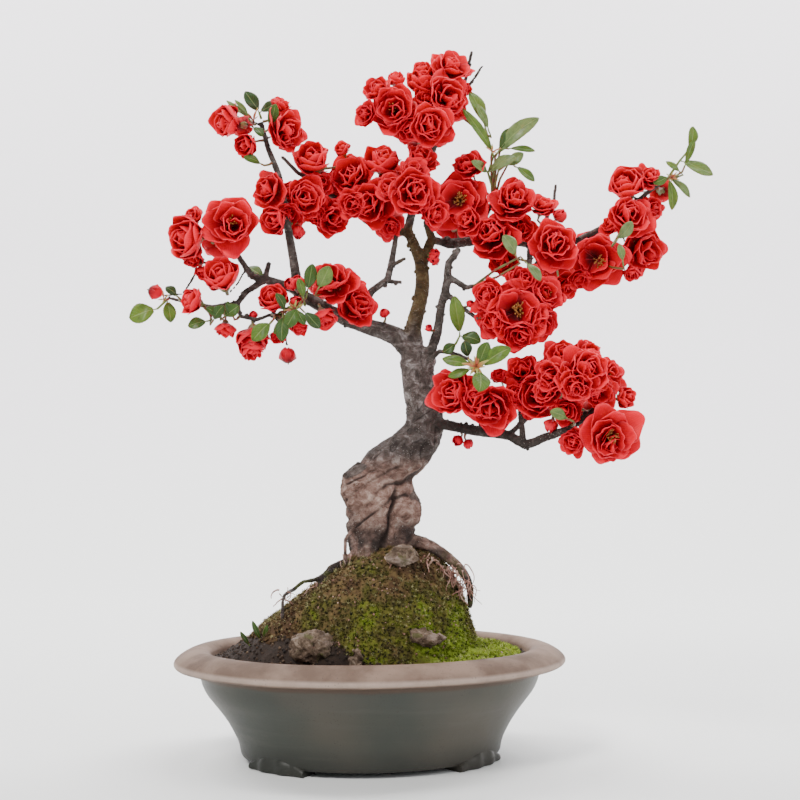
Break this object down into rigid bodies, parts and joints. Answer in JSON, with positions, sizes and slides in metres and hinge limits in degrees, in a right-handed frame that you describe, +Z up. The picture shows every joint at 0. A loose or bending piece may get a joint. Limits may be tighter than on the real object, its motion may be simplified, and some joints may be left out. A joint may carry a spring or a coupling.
{
  "type": "bonsai tree in a pot",
  "caption": "Flowering quince bonsai with a twisted trunk, exposed roots on a mossy mound and red double blossoms, in a shallow oval stoneware pot with a wide lip and low feet.",
  "frame": {"origin": "on the surface the pot stands on, under the middle of the outer box of tree and pot", "axes": "+Z up along the trunk; +X to the right and +Y away when seen from the tree's front; the pot is turned 8.5 degrees about +Z"},
  "size_m": [0.325, 0.1664, 0.3993],
  "materials": {
    "stoneware": "satin unglazed body, matte brown lip",
    "soil": "dry granular",
    "moss": "short dense tufts",
    "stone": "rough",
    "bark": "rough fissured bark",
    "petal": "soft satin",
    "leaf": "semi-gloss, veined",
    "screen_plastic": "matte",
    "clip_wire": "drawn wire"
  },
  "bodies": {
    "root": {"blossom_crown_back": "petal", "blossom_crown_front": "petal", "blossom_crown_left_1": "petal", "blossom_crown_left_2": "petal", "blossom_crown_left_3": "petal", "blossom_crown_left_4": "petal", "blossom_leader_left_1": "petal", "blossom_leader_left_2": "petal", "blossom_leader_left_3": "petal", "blossom_leader_left_4": "petal", "blossom_left_high_1": "petal", "blossom_left_high_2": "petal", "blossom_left_mid": "petal", "blossom_left_tip": "petal", "blossom_left_top_1": "petal", "blossom_left_top_2": "petal", "blossom_limb_1": "petal", "blossom_limb_2": "petal", "blossom_limb_3": "petal", "blossom_limb_4": "petal", "blossom_low_1": "petal", "blossom_low_2": "petal", "blossom_low_3": "petal", "blossom_low_4": "petal", "blossom_low_5": "petal", "blossom_low_back": "petal", "blossom_middle_1": "petal", "blossom_middle_2": "petal", "blossom_middle_3": "petal", "blossom_middle_4": "petal", "blossom_middle_5": "petal", "blossom_middle_back": "petal", "blossom_right_1": "petal", "blossom_right_2": "petal", "blossom_right_3": "petal", "blossom_right_4": "petal", "blossom_top_1": "petal", "blossom_top_2": "petal", "blossom_top_3": "petal", "blossom_top_4": "petal", "blossom_top_5": "petal", "bud_left_tip": "petal", "bud_limb": "petal", "drain_screen_left": "screen_plastic", "drain_screen_right": "screen_plastic", "moss_carpet": "moss", "pot": "stoneware", "potting_soil": "soil", "screen_clip_left": "clip_wire", "screen_clip_right": "clip_wire", "shoot_centre": "leaf", "shoot_left_tip": "leaf", "shoot_left_top": "leaf", "shoot_middle": "leaf", "shoot_right_tip": "leaf", "stone_at_trunk": "stone", "stone_front": "stone", "stone_left": "stone", "stone_pebble": "stone", "tree": "bark"}
  },
  "joints": []
}
